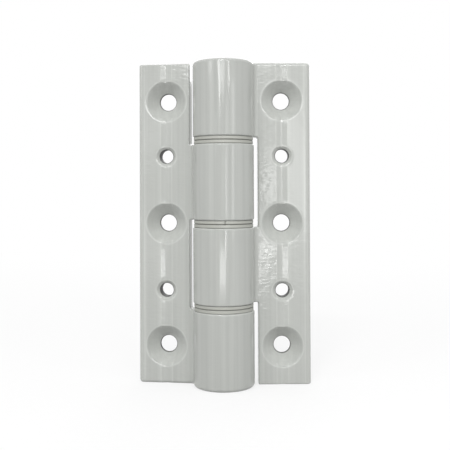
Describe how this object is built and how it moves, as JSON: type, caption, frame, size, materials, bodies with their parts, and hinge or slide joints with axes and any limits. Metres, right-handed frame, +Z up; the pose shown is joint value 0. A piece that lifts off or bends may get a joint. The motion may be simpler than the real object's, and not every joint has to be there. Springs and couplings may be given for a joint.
{
  "type": "bifold door hinge",
  "caption": "Bifold door hinge of two leaves with a thick knuckled barrel, split flanged bushes between the knuckles and countersunk screw holes, opened flat.",
  "frame": {"origin": "on the pin's axis, half way up the barrel; the box around the part is centred there to within 0.3 mm", "axes": "+Z up along the pin, +X from the pin along the right leaf, +Y from the countersunk faces towards the backs of the leaves"},
  "size_m": [0.0535, 0.0188, 0.1],
  "materials": {
    "powder_coat": "gloss",
    "bush_polymer": "satin",
    "plug_polymer": "satin",
    "pin_steel": "satin"
  },
  "bodies": {
    "right_leaf_body": {"right_leaf": "powder_coat", "hinge_pin": "pin_steel", "bush_k1_bottom": "bush_polymer", "bush_k3_top": "bush_polymer", "bush_k3_bottom": "bush_polymer", "plug_top": "plug_polymer"},
    "left_leaf_body": {"left_leaf": "powder_coat", "bush_k2_top": "bush_polymer", "bush_k2_bottom": "bush_polymer", "bush_k4_top": "bush_polymer", "plug_bottom": "plug_polymer"}
  },
  "joints": [
    {"name": "leaf_hinge", "type": "hinge", "parent": "right_leaf_body", "child": "left_leaf_body", "pos_m": [0, 0, 0], "axis": [0, 0, 1], "range_deg": [-126, 188.8]}
  ]
}
